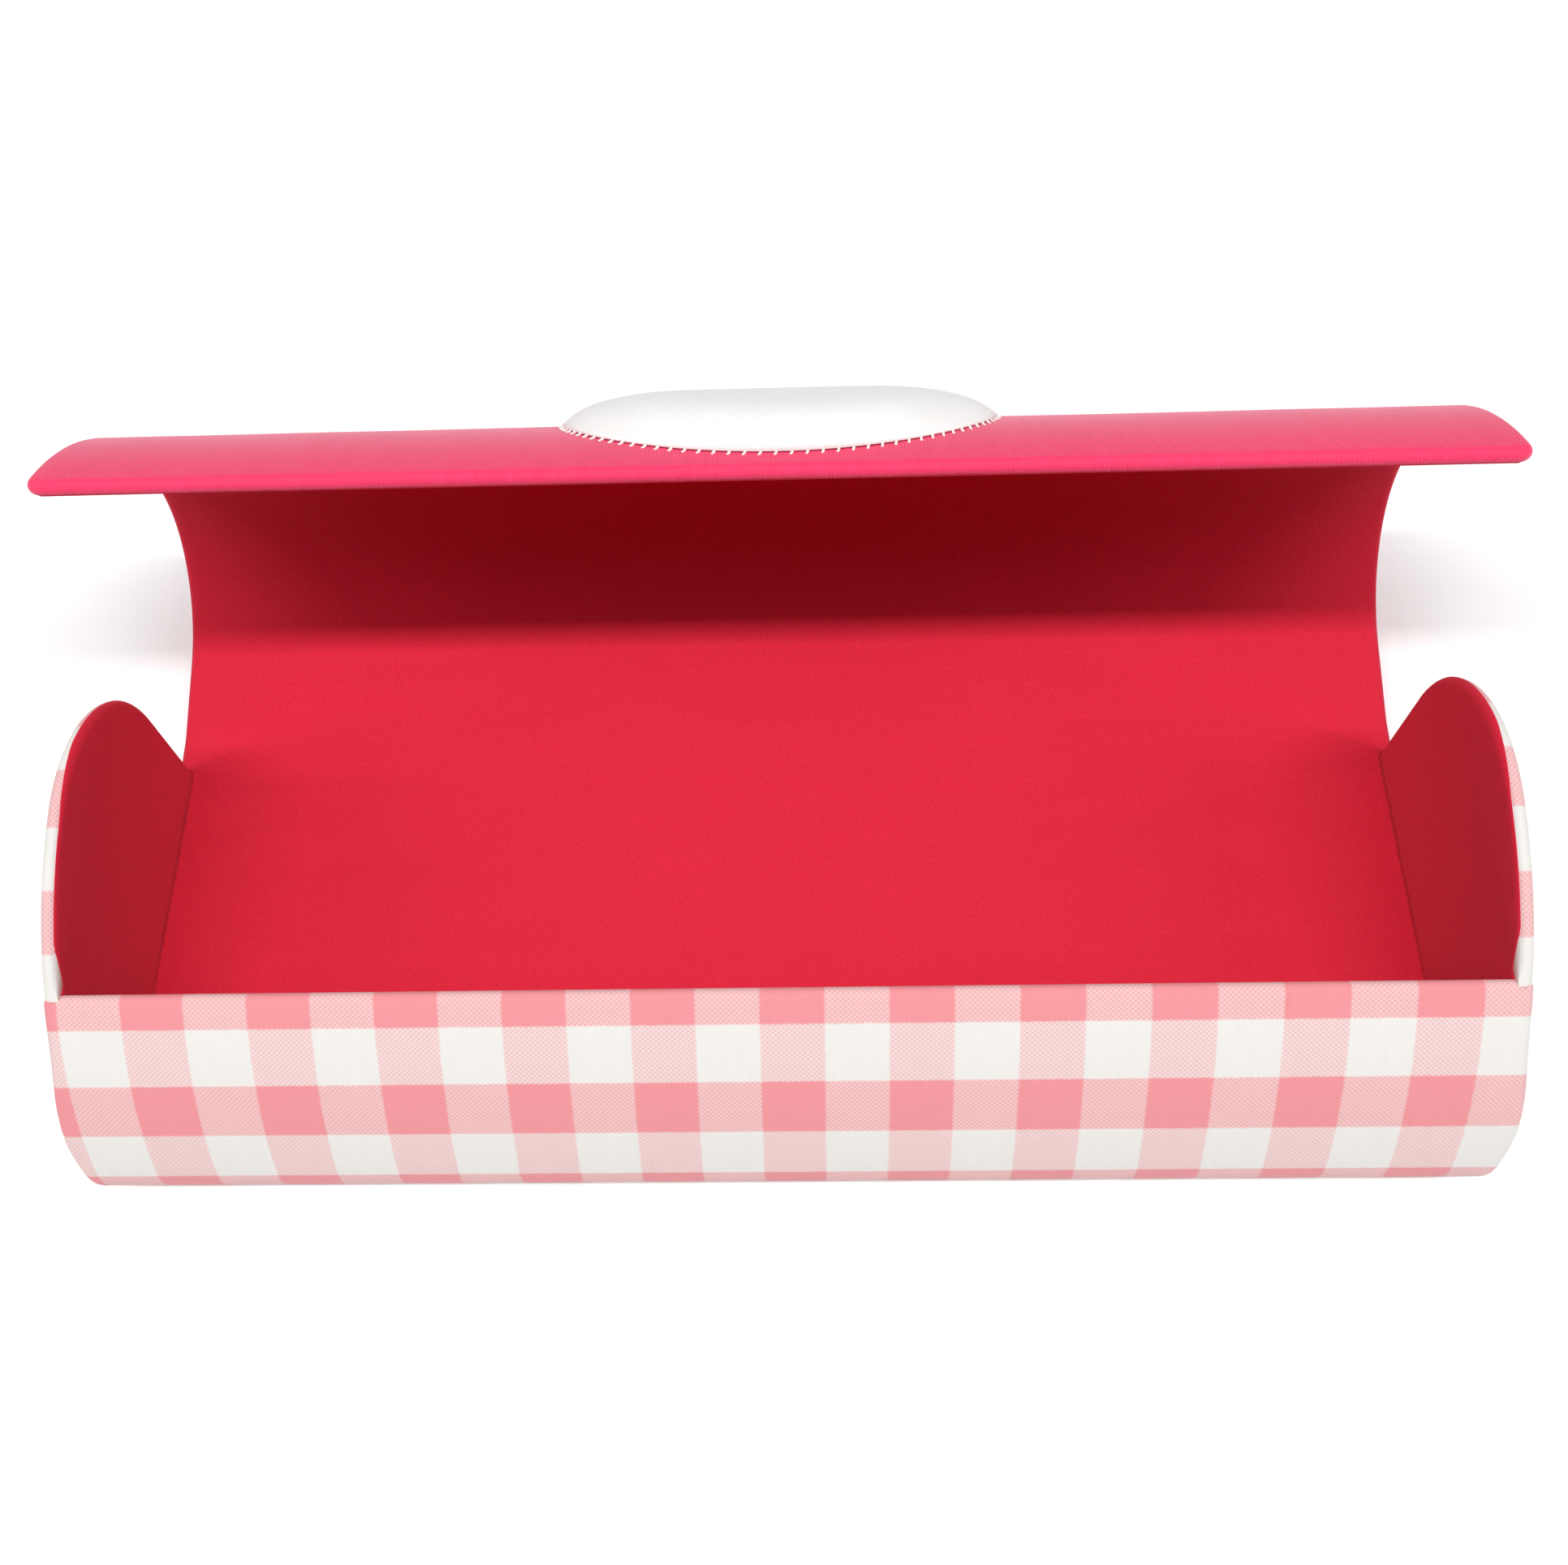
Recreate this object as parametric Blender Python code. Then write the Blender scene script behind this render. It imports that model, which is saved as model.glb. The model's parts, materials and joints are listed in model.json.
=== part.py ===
"""Hard eyeglasses case: a cloth-covered board tray with two end panels, and a curled lid on a cloth hinge.

The case stands open. X runs along its length, +Y points to the hinge at the back and +Z up, in metres.
The origin is the middle of the flat underside. Every curve lies in the YZ plane and runs straight along X.
"""

import math

import bmesh
import bpy
from mathutils import Matrix, Vector

MM = 0.001

# Outside shape
LENGTH = 164 * MM
BACK_CENTRE = (5.8 * MM, 19.3 * MM)  # centre of the rounding between the back and the top
BACK_RADIUS = 19.2 * MM
FRONT_RADIUS = 44.2 * MM  # one long arc from the top down to the front
BACK_LEAN = 3.3  # degrees that the back edge leans forward
JOIN_ANGLE = 101.0  # where the back rounding runs into the front arc, in degrees from +Y
CORNER_RADIUS = 7.4 * MM  # the front bottom corner
HEEL = 1.5 * MM  # chamfer at the end panels' lower back corner
WALL_TOP_ANGLE = 127.9  # the front wall's top edge, on the front arc

# Layers, from the outside in, with the gap that each keeps to its neighbour
CLOTH = 0.35 * MM
BOARD = 0.8 * MM
FOAM = 2.4 * MM
GAP = 0.2 * MM
WALL = 2 * CLOTH + BOARD + 2 * GAP
FLOOR = WALL + FOAM + GAP

# Lid
HINGE = (25.4 * MM, 4.3 * MM)  # the line that the lid turns about
OPEN_ANGLE = 78.7  # degrees from shut to the standing position
LID_CLEARANCE = 0.5 * MM  # between the shut lid and the front wall
LID_FOOT = 5.7 * MM  # height of the shut lid's lower edge
LID_TIP_ANGLE = 145.0  # the leading edge of the shut lid, on the front arc
LID_CORNER = 3 * MM  # rounding of the two leading corners

# Closure
MAGNET_RADIUS = 4 * MM
MAGNET_THICKNESS = 0.8 * MM
STRIKE_SIZE = (14 * MM, 8 * MM, 0.5 * MM)
CLOSURE_X = 50 * MM
CLOSURE_ANGLE = 137.0

# Padded oval patch on the lid
PATCH_WIDTH = 53 * MM
PATCH_DEPTH = 30 * MM
PATCH_FROM_TIP = 18.5 * MM  # from the leading edge to the patch's centre, along the cloth
PATCH_RISE = 2.7 * MM
PATCH_RINGS = 7
PATCH_SPOKES = 40
PATCH_THREAD = 0.45 * MM

FLOOR_BACK = 25.0 * MM  # where the floor's layers stop, short of the hinge
ARC_STEP = 3.0  # degrees between the points of an arc


# Points in the YZ plane


def polar(centre, radius, degrees):
    angle = math.radians(degrees)
    return (centre[0] + radius * math.cos(angle), centre[1] + radius * math.sin(angle))


def arc(centre, radius, start, end, step=ARC_STEP):
    count = max(2, math.ceil(abs(end - start) / step))
    return [polar(centre, radius, start + (end - start) * i / count) for i in range(count + 1)]


FRONT_CENTRE = polar(BACK_CENTRE, BACK_RADIUS - FRONT_RADIUS, JOIN_ANGLE)


def corner_arc(wall_radius, radius, floor):
    """The front bottom corner: centre, and the angle at which it leaves the front arc."""
    rise = floor + radius - FRONT_CENTRE[1]
    run = math.sqrt((wall_radius - radius) ** 2 - rise**2)
    centre = (FRONT_CENTRE[0] - run, floor + radius)
    return centre, math.degrees(math.atan2(rise, -run)) % 360


def back_point(outset, height):
    """A point on the back edge's straight part, moved out by outset."""
    top = polar(BACK_CENTRE, BACK_RADIUS + outset, BACK_LEAN)
    return (top[0] + (top[1] - height) * math.tan(math.radians(BACK_LEAN)), height)


def tray_line(inset, floor, corner, top_angle, back=FLOOR_BACK):
    """The tray's wall and floor as one line: down the front, round the corner and back to the hinge."""
    radius = FRONT_RADIUS - inset
    centre, join = corner_arc(radius, corner, floor)
    wall = arc(FRONT_CENTRE, radius, top_angle, join)
    turn = arc(centre, corner, join, 270, step=12)
    return wall + turn[1:] + [(back, floor)]


def end_outline(inset):
    """The end panel's outline, anticlockwise from its chamfered lower back corner."""
    radius = FRONT_RADIUS - inset
    corner = CORNER_RADIUS - inset
    centre, join = corner_arc(radius, corner, inset)
    foot = back_point(-inset, inset + HEEL)
    points = [(foot[0] - HEEL, inset), foot]
    points += arc(BACK_CENTRE, BACK_RADIUS - inset, BACK_LEAN, JOIN_ANGLE, step=5)
    points += arc(FRONT_CENTRE, radius, JOIN_ANGLE, join, step=4)[1:]
    points += arc(centre, corner, join, 270, step=15)[1:]
    return points


def lid_line(outset, foot=LID_FOOT, trim=0.0):
    """The shut lid's line from its foot over the top to the leading edge, cut short there by trim."""
    radius = FRONT_RADIUS + outset
    tip = LID_TIP_ANGLE - math.degrees(trim / radius)
    points = [back_point(outset, foot)]
    points += arc(BACK_CENTRE, BACK_RADIUS + outset, BACK_LEAN, JOIN_ANGLE, step=4)
    points += arc(FRONT_CENTRE, radius, JOIN_ANGLE, tip)[1:]
    return points


def lid_surface(from_tip, height):
    """A point of the shut lid's outer face at a distance from the leading edge, raised by height."""
    face = LID_CLEARANCE + WALL
    radius = FRONT_RADIUS + face
    on_front = math.radians(LID_TIP_ANGLE - JOIN_ANGLE) * radius
    if from_tip <= on_front:
        return polar(FRONT_CENTRE, radius + height, LID_TIP_ANGLE - math.degrees(from_tip / radius))
    radius = BACK_RADIUS + face
    return polar(BACK_CENTRE, radius + height, JOIN_ANGLE - math.degrees((from_tip - on_front) / radius))


# Scene


def clear_scene():
    for item in list(bpy.data.objects):
        bpy.data.objects.remove(item, do_unlink=True)


def material(name, colour, roughness, metallic=0.0):
    made = bpy.data.materials.new(name)
    made.use_nodes = True
    made.diffuse_color = (*colour, 1)
    shader = made.node_tree.nodes["Principled BSDF"]
    shader.inputs["Base Color"].default_value = (*colour, 1)
    shader.inputs["Roughness"].default_value = roughness
    shader.inputs["Metallic"].default_value = metallic
    return made


def add_object(name, mesh, finish, pivot=None):
    """Adds bmesh geometry as an object. One that turns with the lid is built round the hinge line."""
    bmesh.ops.recalc_face_normals(mesh, faces=mesh.faces)
    if pivot:
        bmesh.ops.translate(mesh, verts=mesh.verts, vec=(0, -HINGE[0], -HINGE[1]))
    data = bpy.data.meshes.new(name)
    mesh.to_mesh(data)
    mesh.free()
    data.materials.append(finish)
    data.shade_smooth()
    data.set_sharp_from_angle(angle=math.radians(35))
    item = bpy.data.objects.new(name, data)
    item.parent = pivot
    bpy.context.scene.collection.objects.link(item)
    return item


def cut(item, cutter):
    """Takes the cutter's shape away from the item."""
    cutter.hide_render = True
    cutter.display_type = "WIRE"
    modifier = item.modifiers.new(cutter.name, "BOOLEAN")
    modifier.operation = "DIFFERENCE"
    modifier.object = cutter


# Shapes


def close_loops(mesh, rows):
    """Skins between neighbouring rows, each a ring of vertices, and caps the first and the last."""
    for first, second in zip(rows, rows[1:]):
        for i in range(len(first)):
            j = (i + 1) % len(first)
            mesh.faces.new((first[i], first[j], second[j], second[i]))
    mesh.faces.new(rows[0])
    mesh.faces.new(rows[-1])


def band(name, outer, inner, half_length, finish, pivot=None):
    """A layer between two lines that have the same number of points, straight along X."""
    mesh = bmesh.new()
    rows = []
    for (oy, oz), (iy, iz) in zip(outer, inner):
        corners = ((-half_length, oy, oz), (half_length, oy, oz), (half_length, iy, iz), (-half_length, iy, iz))
        rows.append([mesh.verts.new(corner) for corner in corners])
    close_loops(mesh, rows)
    return add_object(name, mesh, finish, pivot)


def lid_sheet(name, outset, thickness, trim, finish, pivot, foot=LID_FOOT):
    """A layer of the lid, with its two leading corners rounded. trim is how far it stops inside the edges."""
    half = LENGTH / 2 - trim
    corner = LID_CORNER - trim
    steps = [corner * (1 - math.cos(math.radians(15 * i))) for i in range(5, -1, -1)]
    reaches = [corner * (1 - math.sin(math.radians(15 * i))) for i in range(5, -1, -1)]
    lines = [lid_line(o, foot, trim + corner) for o in (outset, outset + thickness)]
    rows = [(a, b, half) for a, b in zip(*lines)]
    for step, reach in zip(steps, reaches):
        ends = []
        for o in (outset, outset + thickness):
            radius = FRONT_RADIUS + o
            ends.append(polar(FRONT_CENTRE, radius, LID_TIP_ANGLE - math.degrees((trim + step) / radius)))
        rows.append((*ends, half - reach))
    mesh = bmesh.new()
    rings = []
    for (iy, iz), (oy, oz), width in rows:
        corners = ((-width, oy, oz), (width, oy, oz), (width, iy, iz), (-width, iy, iz))
        rings.append([mesh.verts.new(c) for c in corners])
    close_loops(mesh, rings)
    return add_object(name, mesh, finish, pivot)


def plate(name, outline, side, near, far, finish):
    """A flat panel across X with the given outline, between two distances from the middle."""
    mesh = bmesh.new()
    rows = [[mesh.verts.new((side * x, y, z)) for y, z in outline] for x in (near, far)]
    close_loops(mesh, rows)
    return add_object(name, mesh, finish)


def end_tray(name, side, finish):
    """The end panel's cloth: its outer face, turned in over the panel's edge all round."""
    outside, inside = end_outline(0), end_outline(CLOTH)
    face, rim = LENGTH / 2, LENGTH / 2 - WALL
    mesh = bmesh.new()
    rows = []
    for outline, x in ((outside, face), (outside, rim), (inside, rim), (inside, face - CLOTH)):
        rows.append([mesh.verts.new((side * x, y, z)) for y, z in outline])
    close_loops(mesh, rows)
    return add_object(name, mesh, finish)


def set_in_arc(mesh, radius, degrees, x):
    """Turns a shape made flat about the origin to face out of the front arc, and moves it there."""
    y, z = polar(FRONT_CENTRE, radius, degrees)
    turn = Matrix.Rotation(math.radians(degrees - 90), 4, "X")
    bmesh.ops.transform(mesh, matrix=Matrix.Translation((x, y, z)) @ turn, verts=mesh.verts)


def disc(name, thickness, disc_radius, radius, x, finish, pivot):
    mesh = bmesh.new()
    bmesh.ops.create_cone(
        mesh, cap_ends=True, segments=24, radius1=disc_radius, radius2=disc_radius, depth=thickness
    )
    set_in_arc(mesh, radius, CLOSURE_ANGLE, x)
    return add_object(name, mesh, finish, pivot)


def block(name, size, radius, x, finish):
    mesh = bmesh.new()
    bmesh.ops.create_cube(mesh, size=1)
    bmesh.ops.scale(mesh, vec=size, verts=mesh.verts)
    set_in_arc(mesh, radius, CLOSURE_ANGLE, x)
    return add_object(name, mesh, finish)


# Tray


def build_tray(gingham, lining, board, foam, steel):
    edge = math.degrees((CLOTH + GAP) / FRONT_RADIUS)
    hem = math.degrees(CLOTH / FRONT_RADIUS)
    cover_out = tray_line(0, 0, CORNER_RADIUS, WALL_TOP_ANGLE)
    cover_in = tray_line(CLOTH, CLOTH, CORNER_RADIUS - CLOTH, WALL_TOP_ANGLE + hem)
    lip = FRONT_RADIUS - WALL
    cover_out.insert(0, polar(FRONT_CENTRE, lip, WALL_TOP_ANGLE))
    cover_in.insert(0, polar(FRONT_CENTRE, lip, WALL_TOP_ANGLE + hem))
    inside = LENGTH / 2 - WALL - GAP
    band("base_cover", cover_out, cover_in, inside, gingham)

    depth = CLOTH + GAP
    top = WALL_TOP_ANGLE + edge
    shell = band(
        "base_shell",
        tray_line(depth, depth, CORNER_RADIUS - depth, top),
        tray_line(depth + BOARD, depth + BOARD, CORNER_RADIUS - depth - BOARD, top),
        inside,
        board,
    )
    depth += BOARD + GAP
    under = FLOOR - CLOTH
    band(
        "base_lining",
        tray_line(depth, under, CORNER_RADIUS - depth, top),
        tray_line(depth + CLOTH, under + CLOTH, CORNER_RADIUS - depth - CLOTH, top),
        inside,
        lining,
    )
    pad_front = -FLOOR_BACK + CORNER_RADIUS
    band(
        "floor_padding",
        [(pad_front, depth), (FLOOR_BACK - GAP, depth)],
        [(pad_front, depth + FOAM), (FLOOR_BACK - GAP, depth + FOAM)],
        inside - GAP,
        foam,
    )
    middle = FRONT_RADIUS - CLOTH - GAP - BOARD / 2
    window = (STRIKE_SIZE[0] + 2 * GAP, STRIKE_SIZE[1] + 2 * GAP, 4 * BOARD)
    for side, x in (("left", -CLOSURE_X), ("right", CLOSURE_X)):
        block(f"strike_plate_{side}", STRIKE_SIZE, middle, x, steel)
        cut(shell, block(f"strike_window_{side}", window, middle, x, steel))


def build_ends(gingham, lining, board):
    outline = end_outline(CLOTH + GAP)
    for side, sign in (("left", -1), ("right", 1)):
        end_tray(f"end_cover_{side}", sign, gingham)
        near = LENGTH / 2 - WALL
        plate(f"end_lining_{side}", outline, sign, near, near + CLOTH, lining)
        near += CLOTH + GAP
        plate(f"end_board_{side}", outline, sign, near, near + BOARD, board)


# Lid


def build_lid(cloth, lining, board, magnet_finish, pivot):
    cover = lid_sheet("lid_cover", LID_CLEARANCE, WALL, 0, cloth, pivot)
    pocket = lid_sheet(
        "lid_pocket", LID_CLEARANCE - BOARD, WALL - CLOTH + BOARD, CLOTH, cloth, pivot, LID_FOOT - BOARD
    )
    cut(cover, pocket)
    lid_sheet("lid_lining", LID_CLEARANCE, CLOTH, CLOTH + GAP, lining, pivot)
    board_outset = LID_CLEARANCE + CLOTH + GAP
    shell = lid_sheet("lid_shell", board_outset, BOARD, CLOTH + GAP, board, pivot)
    middle = FRONT_RADIUS + board_outset + BOARD / 2
    for side, x in (("left", -CLOSURE_X), ("right", CLOSURE_X)):
        disc(f"magnet_{side}", MAGNET_THICKNESS, MAGNET_RADIUS, middle, x, magnet_finish, pivot)
        hole = disc(f"magnet_hole_{side}", 4 * BOARD, MAGNET_RADIUS + GAP, middle, x, board, pivot)
        cut(shell, hole)


def open_point(point):
    """Where a point of the shut lid stands when the lid is open."""
    turned = Matrix.Rotation(math.radians(-OPEN_ANGLE), 2) @ Vector((point[0] - HINGE[0], point[1] - HINGE[1]))
    return (turned.x + HINGE[0], turned.y + HINGE[1])


def build_hinge(cloth, lining):
    """Two cloth strips across the hinge line, one outside and one in the lining, as they lie with the lid open."""
    half = LENGTH / 2 - WALL - GAP
    start = FLOOR_BACK + GAP
    lift = 0.05 * MM  # keeps the outer strip off the surface that the case stands on
    for name, height, outset, finish in (
        ("hinge_tape", lift, LID_CLEARANCE + WALL - CLOTH, cloth),
        ("hinge_lining", FLOOR - CLOTH, LID_CLEARANCE, lining),
    ):
        foot = [open_point(back_point(outset + side, LID_FOOT - GAP)) for side in (CLOTH, 0)]
        band(name, [(start, height), foot[0]], [(start, height + CLOTH), foot[1]], half, finish)


# Patch


def patch_ring(mesh, share, height):
    """One oval ring of vertices on the lid, at a share of the patch's size and a height over the cloth."""
    ring = []
    for i in range(PATCH_SPOKES):
        angle = math.tau * i / PATCH_SPOKES
        x = PATCH_WIDTH / 2 * share * math.cos(angle)
        y, z = lid_surface(PATCH_FROM_TIP + PATCH_DEPTH / 2 * share * math.sin(angle), height)
        ring.append(mesh.verts.new((x, y, z)))
    return ring


def patch_crown(share):
    """The padding's height over its edge: nearly flat on top, and steep near the rim."""
    return PATCH_RISE * math.sqrt(1 - share**5)


def build_patch(cloth, foam, thread, pivot):
    shares = [math.sin(math.pi / 2 * i / PATCH_RINGS) for i in range(1, PATCH_RINGS)] + [1.0]
    inner_share = 1 - 2 * (CLOTH + GAP) / PATCH_DEPTH
    under = GAP

    mesh = bmesh.new()
    rings = [patch_ring(mesh, s * inner_share, under) for s in shares]
    rings += [patch_ring(mesh, s * inner_share, under + CLOTH + patch_crown(s)) for s in reversed(shares)]
    close_loops(mesh, rings)
    add_object("patch_padding", mesh, foam, pivot)

    skin = under + CLOTH + GAP
    mesh = bmesh.new()
    rings = [patch_ring(mesh, s * (1 + inner_share) / 2, skin + patch_crown(s)) for s in shares]
    rings += [patch_ring(mesh, (1 + inner_share) / 2, under), patch_ring(mesh, 1, under)]
    rings += [patch_ring(mesh, s, skin + CLOTH + patch_crown(s)) for s in reversed(shares)]
    close_loops(mesh, rings)
    add_object("patch_cover", mesh, cloth, pivot)

    mesh = bmesh.new()
    sides = 8
    thread_share = 1 + 2 * (PATCH_THREAD + GAP) / PATCH_DEPTH
    rings = []
    for i in range(sides):
        angle = math.tau * i / sides
        share = thread_share + 2 * PATCH_THREAD * math.cos(angle) / PATCH_DEPTH
        rings.append(patch_ring(mesh, share, under + PATCH_THREAD * (1 + math.sin(angle))))
    for first, second in zip(rings, rings[1:] + rings[:1]):
        for i in range(PATCH_SPOKES):
            j = (i + 1) % PATCH_SPOKES
            mesh.faces.new((first[i], first[j], second[j], second[i]))
    add_object("patch_stitching", mesh, thread, pivot)


def build_case():
    clear_scene()
    gingham = material("gingham_cotton", (0.86, 0.55, 0.56), 0.85)
    cloth = material("lid_cloth", (0.83, 0.04, 0.12), 0.8)
    lining = material("red_lining", (0.66, 0.01, 0.04), 0.9)
    board = material("fibreboard", (0.42, 0.34, 0.25), 0.8)
    foam = material("foam", (0.85, 0.84, 0.8), 0.95)
    steel = material("steel", (0.6, 0.6, 0.6), 0.35, 1.0)
    magnet_finish = material("nickel_plate", (0.7, 0.69, 0.66), 0.25, 1.0)
    white_cloth = material("white_cloth", (0.9, 0.9, 0.88), 0.85)
    thread = material("white_thread", (0.85, 0.85, 0.83), 0.7)

    pivot = bpy.data.objects.new("lid_pivot", None)
    pivot.location = (0, *HINGE)
    pivot.rotation_euler.x = math.radians(-OPEN_ANGLE)
    bpy.context.scene.collection.objects.link(pivot)

    build_tray(gingham, lining, board, foam, steel)
    build_ends(gingham, lining, board)
    build_hinge(cloth, lining)
    build_lid(cloth, lining, board, magnet_finish, pivot)
    build_patch(white_cloth, foam, thread, pivot)


build_case()
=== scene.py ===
"""The looks of a hard eyeglasses case: gingham, a plain lid with a padded oval patch, and a red lining.

Every cloth is laid out flat, as (x, s, h): x along the case, s along its section and h out of the cloth.
A line in the YZ plane then bends it to its place. Lengths are in metres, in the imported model's frame.
"""

import json
import math

import bpy
import numpy as np
from mathutils import Matrix, Vector, noise
from mathutils.bvhtree import BVHTree


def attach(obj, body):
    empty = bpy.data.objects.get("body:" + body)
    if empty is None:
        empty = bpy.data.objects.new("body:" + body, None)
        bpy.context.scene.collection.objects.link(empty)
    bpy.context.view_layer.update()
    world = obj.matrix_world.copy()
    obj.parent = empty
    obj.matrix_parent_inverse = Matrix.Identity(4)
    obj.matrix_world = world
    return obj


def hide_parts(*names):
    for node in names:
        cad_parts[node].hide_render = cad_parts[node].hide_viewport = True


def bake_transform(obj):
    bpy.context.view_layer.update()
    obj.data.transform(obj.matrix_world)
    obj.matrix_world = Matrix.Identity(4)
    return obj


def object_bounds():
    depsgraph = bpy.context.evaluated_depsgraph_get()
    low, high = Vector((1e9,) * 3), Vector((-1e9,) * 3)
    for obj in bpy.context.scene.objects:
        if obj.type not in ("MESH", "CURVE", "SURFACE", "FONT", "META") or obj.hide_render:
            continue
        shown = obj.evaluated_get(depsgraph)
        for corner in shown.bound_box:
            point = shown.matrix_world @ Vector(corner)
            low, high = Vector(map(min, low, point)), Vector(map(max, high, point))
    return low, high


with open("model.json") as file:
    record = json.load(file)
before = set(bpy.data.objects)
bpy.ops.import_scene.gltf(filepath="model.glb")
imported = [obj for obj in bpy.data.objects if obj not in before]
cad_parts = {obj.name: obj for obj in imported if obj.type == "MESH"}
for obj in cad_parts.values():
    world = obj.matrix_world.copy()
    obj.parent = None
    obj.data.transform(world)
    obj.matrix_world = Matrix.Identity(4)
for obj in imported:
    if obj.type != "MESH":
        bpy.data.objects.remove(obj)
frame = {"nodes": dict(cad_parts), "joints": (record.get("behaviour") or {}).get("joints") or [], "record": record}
cad_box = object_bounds()

MM = 0.001

# The section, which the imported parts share
LENGTH = 164 * MM
BACK_CENTRE = (5.8 * MM, 19.3 * MM)
BACK_RADIUS = 19.2 * MM
FRONT_RADIUS = 44.2 * MM
BACK_LEAN = 3.3
JOIN_ANGLE = 101.0
CORNER_RADIUS = 7.4 * MM
HEEL = 1.5 * MM
WALL_TOP_ANGLE = 127.9
WALL = 1.9 * MM
FLOOR = 4.5 * MM
FLOOR_BACK = 25.0 * MM
OPEN_ANGLE = 78.7
LID_CLEARANCE = 0.5 * MM
LID_FOOT = 5.7 * MM
LID_TIP_ANGLE = 145.0
LID_CORNER = 1.7 * MM
HINGE = tuple(frame["joints"][0]["pos_m"][1:])

# Cloth
CLOTH = 0.35 * MM
HINGE_STRIP = 0.15 * MM
EDGE_ROUND = WALL / 2
TURN_IN = 1.9 * MM  # how far a cloth goes on past an edge, under the lining
LINING_INSET = 1.1 * MM  # from the front wall's edge to its lining
LID_INSET = 0.3 * MM  # from the lid's edges to its lining
FOOT_LAP = 0.5 * MM  # how far the lid's cloth hangs past its board's foot
SHY = 0.12 * MM  # how far an end panel's cloth keeps off the one that laps over it
STEP = 1.1 * MM  # between the points of a cloth
INSIDE_HALF = LENGTH / 2 - WALL  # the end panels' inner faces
BULGE = 0.9 * MM  # how far the end panels swell

# Gingham
SQUARE = 7.135 * MM
TRAY_CHECK = (-83.9 * MM, 0.35 * MM)  # where its columns and its rows start on the cloth
END_CHECK = (-3.78 * MM, -22.73 * MM)
THREAD = 0.3 * MM
CHECK_BLUR = 0.25 * MM  # over which one stripe gives way to the next

# Threads of the other cloths
LID_RIB = 0.42 * MM
LINING_THREAD = 0.36 * MM

# Padded patch
PATCH_SIZE = (50.6 * MM, 30 * MM)
PATCH_PLACE = (1.2 * MM, 18.5 * MM)  # across, and from the lid's leading edge
PATCH_CROWN = 3.5 * MM
PATCH_GRID = 61
PATCH_SCALE = 20  # how much larger it is while it is blown up
PATCH_FRAMES = 30
PATCH_EVENING = 24  # rounds of evening out
PATCH_STEEPNESS = 3.5
STITCH_COUNT = 92
STITCH_RADIUS = 0.17 * MM
STITCH_START = 0.6 * MM  # outside the patch's rim
STITCH_REACH = 1.7 * MM  # from there in over the rim
STITCH_SLANT = 0.8 * MM
STITCH_POINTS, STITCH_SIDES = 9, 8

# Setting
FLOOR_REACH = 0.6
LIGHT_DISTANCE = 4
LIGHT_TARGET = (0, 10 * MM, 20 * MM)
AMBIENT = 0.08

# Camera
SENSOR = 36
LENS = 38.68
CAMERA_PLACE = (3.46 * MM, -83.6 * MM, 203.6 * MM)
CAMERA_PITCH, CAMERA_YAW, CAMERA_ROLL = 60.95, -4.52, -4.89
CAMERA_SHIFT = (0.0286, -0.0163)


# Section lines


def polar(centre, radius, degrees):
    angle = math.radians(degrees)
    return (centre[0] + radius * math.cos(angle), centre[1] + radius * math.sin(angle))


def arc(centre, radius, start, end, step=0.5):
    count = max(2, math.ceil(abs(end - start) / step))
    return [polar(centre, radius, start + (end - start) * i / count) for i in range(count + 1)]


FRONT_CENTRE = polar(BACK_CENTRE, BACK_RADIUS - FRONT_RADIUS, JOIN_ANGLE)


def back_point(outset, height):
    top = polar(BACK_CENTRE, BACK_RADIUS + outset, BACK_LEAN)
    return (top[0] + (top[1] - height) * math.tan(math.radians(BACK_LEAN)), height)


def tray_points(inset, floor, back=FLOOR_BACK):
    """Down the front wall from its top edge, round the corner and back along the floor."""
    wall_radius, radius = FRONT_RADIUS - inset, CORNER_RADIUS - inset
    rise = floor + radius - FRONT_CENTRE[1]
    run = math.sqrt((wall_radius - radius) ** 2 - rise**2)
    centre = (FRONT_CENTRE[0] - run, floor + radius)
    join = math.degrees(math.atan2(rise, -run)) % 360
    wall = arc(FRONT_CENTRE, wall_radius, WALL_TOP_ANGLE, join)
    return wall + arc(centre, radius, join, 270, 3)[1:] + [(back, floor)]


def end_points():
    """The end panel's outline: down from the front wall's top, along the floor, up the back and over."""
    foot = back_point(0, HEEL)
    points = tray_points(0, 0, foot[0] - HEEL) + [foot]
    points += arc(BACK_CENTRE, BACK_RADIUS, BACK_LEAN, JOIN_ANGLE)
    return points + arc(FRONT_CENTRE, FRONT_RADIUS, JOIN_ANGLE, WALL_TOP_ANGLE)[1:]


def lid_points(outset):
    """The standing lid's line, from its leading edge to its foot."""
    points = arc(FRONT_CENTRE, FRONT_RADIUS + outset, LID_TIP_ANGLE, JOIN_ANGLE)
    points += arc(BACK_CENTRE, BACK_RADIUS + outset, JOIN_ANGLE, BACK_LEAN)[1:]
    points.append(back_point(outset, LID_FOOT))
    turn = Matrix.Rotation(math.radians(-OPEN_ANGLE), 2)
    return [tuple(turn @ (Vector(p) - Vector(HINGE)) + Vector(HINGE)) for p in points]


def smooth(points, count=12):
    """A smooth line through a few points."""
    points = [Vector(p) for p in points]
    points = [2 * points[0] - points[1], *points, 2 * points[-1] - points[-2]]
    made = []
    for a, b, c, d in zip(points, points[1:], points[2:], points[3:]):
        for i in range(count):
            t = i / count
            square, cube = 2 * a - 5 * b + 4 * c - d, 3 * b - a - 3 * c + d
            made.append(0.5 * (2 * b + (c - a) * t + square * t**2 + cube * t**3))
    return [tuple(p) for p in [*made, points[-2]]]


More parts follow.
